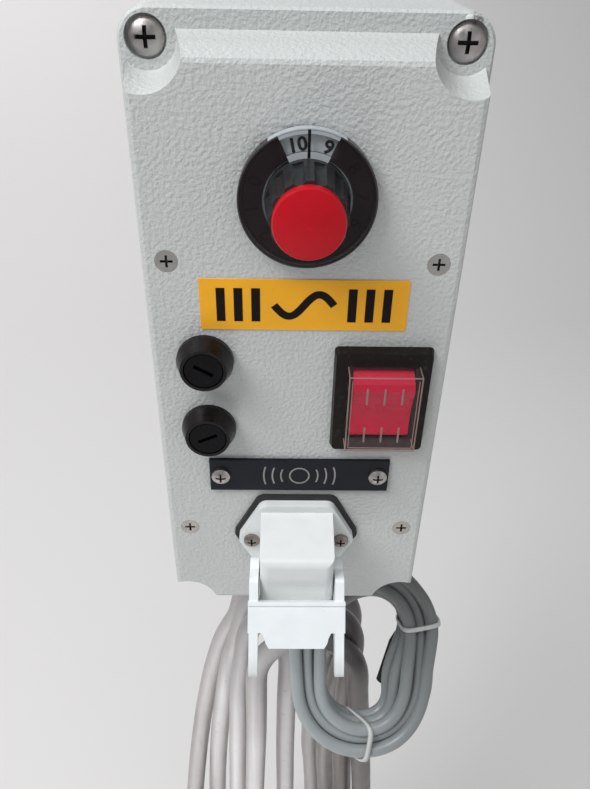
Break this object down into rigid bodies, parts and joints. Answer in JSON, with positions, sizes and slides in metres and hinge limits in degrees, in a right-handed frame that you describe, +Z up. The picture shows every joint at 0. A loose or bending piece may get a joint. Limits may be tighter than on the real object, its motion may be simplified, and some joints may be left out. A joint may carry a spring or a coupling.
{
  "type": "vibratory feeder speed controller",
  "caption": "Wall or post mounted speed controller for a vibratory feeder: upright box with a dial, rocker switch, two fuse holders, a socket and two hanging cables.",
  "frame": {"origin": "centre of the four mounting holes on the flat back face of the box", "axes": "+Z up, the front panel faces -Y, +X is to the right seen from the front; +Y points into the post or wall it is screwed to"},
  "size_m": [0.1147, 0.0932, 0.4821],
  "materials": {
    "painted_case": "light grey textured powder coat over diecast aluminium",
    "black_rubber": "matt",
    "stainless": "plain",
    "brass": "turned",
    "board": "solder resist over glass fibre",
    "sink_aluminium": "plain",
    "black_plastic": "moulded",
    "capacitor_yellow": "moulded",
    "copper_winding": "lacquered winding, as one closed ring",
    "green_plastic": "moulded",
    "smoked_plastic": "smoked, printed dark inside",
    "clear_window": "clear plastic window",
    "scale_grey": "silver grey with dark numbers",
    "red_plastic": "moulded",
    "plated_metal": "nickel plated",
    "fuse_glass": "glass tube with metal ends",
    "red_rocker": "translucent red",
    "clear_cover": "soft clear plastic",
    "yellow_label": "printed film",
    "black_plate": "engraved laminate",
    "white_plastic": "moulded, slightly worn",
    "grey_cable": "smooth sheath",
    "thin_grey_cable": "smooth sheath",
    "tie_white": "translucent nylon"
  },
  "bodies": {
    "case": {"base_box": "painted_case", "lid": "painted_case", "lid_seal": "black_rubber", "lid_screws": "stainless", "panel_screws": "stainless", "board_spacers": "brass", "circuit_board": "board", "board_screws": "stainless", "heat_sink": "sink_aluminium", "triac": "black_plastic", "filter_capacitor": "capacitor_yellow", "choke": "copper_winding", "terminal_block": "green_plastic", "dial_base": "black_plastic", "dial_cover": "smoked_plastic", "dial_window": "clear_window", "pot_body": "plated_metal", "pot_nut": "stainless", "fuse_holder_upper": "black_plastic", "fuse_holder_lower": "black_plastic", "fuse_nuts": "black_plastic", "switch_body": "black_plastic", "switch_terminals": "stainless", "splash_cover": "clear_cover", "voltage_label": "yellow_label", "name_plate": "black_plate", "plate_screws": "stainless", "connector_gasket": "black_rubber", "connector_housing": "white_plastic", "housing_screws": "stainless", "contact_insert": "white_plastic", "contacts": "brass", "supply_gland": "plated_metal", "supply_gland_nut": "plated_metal", "sensor_gland": "plated_metal", "sensor_gland_nut": "plated_metal", "gland_locknuts": "plated_metal", "supply_lead": "grey_cable", "supply_coil": "grey_cable", "supply_tie": "tie_white", "supply_plug": "black_plastic", "sensor_lead": "thin_grey_cable", "sensor_coil": "thin_grey_cable", "sensor_ties": "tie_white", "sensor_end": "black_plastic"},
    "knob": {"scale_disc": "scale_grey", "knob_body": "black_plastic", "knob_cap": "red_plastic", "pot_shaft": "stainless"},
    "fuse_carrier_upper": {"fuse_cap_upper": "black_plastic", "fuse_upper": "fuse_glass"},
    "fuse_carrier_lower": {"fuse_cap_lower": "black_plastic", "fuse_lower": "fuse_glass"},
    "rocker": {"rocker": "red_rocker"},
    "locking_lever": {"locking_lever": "white_plastic"}
  },
  "joints": [
    {"name": "speed_dial", "type": "hinge", "parent": "case", "child": "knob", "pos_m": [0.0005, -0.06, 0.052], "axis": [0, 1, 0], "range_deg": [-292, 8]},
    {"name": "power_rocker", "type": "hinge", "parent": "case", "child": "rocker", "pos_m": [0.021, -0.0565, -0.0014], "axis": [1, 0, 0], "range_deg": [-20, 0]},
    {"name": "lever_swing", "type": "hinge", "parent": "case", "child": "locking_lever", "pos_m": [0, -0.069, -0.054], "axis": [1, 0, 0], "range_deg": [-46, 30]},
    {"name": "fuse_turn_upper", "type": "hinge", "parent": "case", "child": "fuse_carrier_upper", "pos_m": [-0.024, -0.0625, 0.01], "axis": [0, -1, 0], "range_deg": [0, 70]},
    {"name": "fuse_turn_lower", "type": "hinge", "parent": "case", "child": "fuse_carrier_lower", "pos_m": [-0.024, -0.0625, -0.011], "axis": [0, -1, 0], "range_deg": [0, 70]}
  ]
}
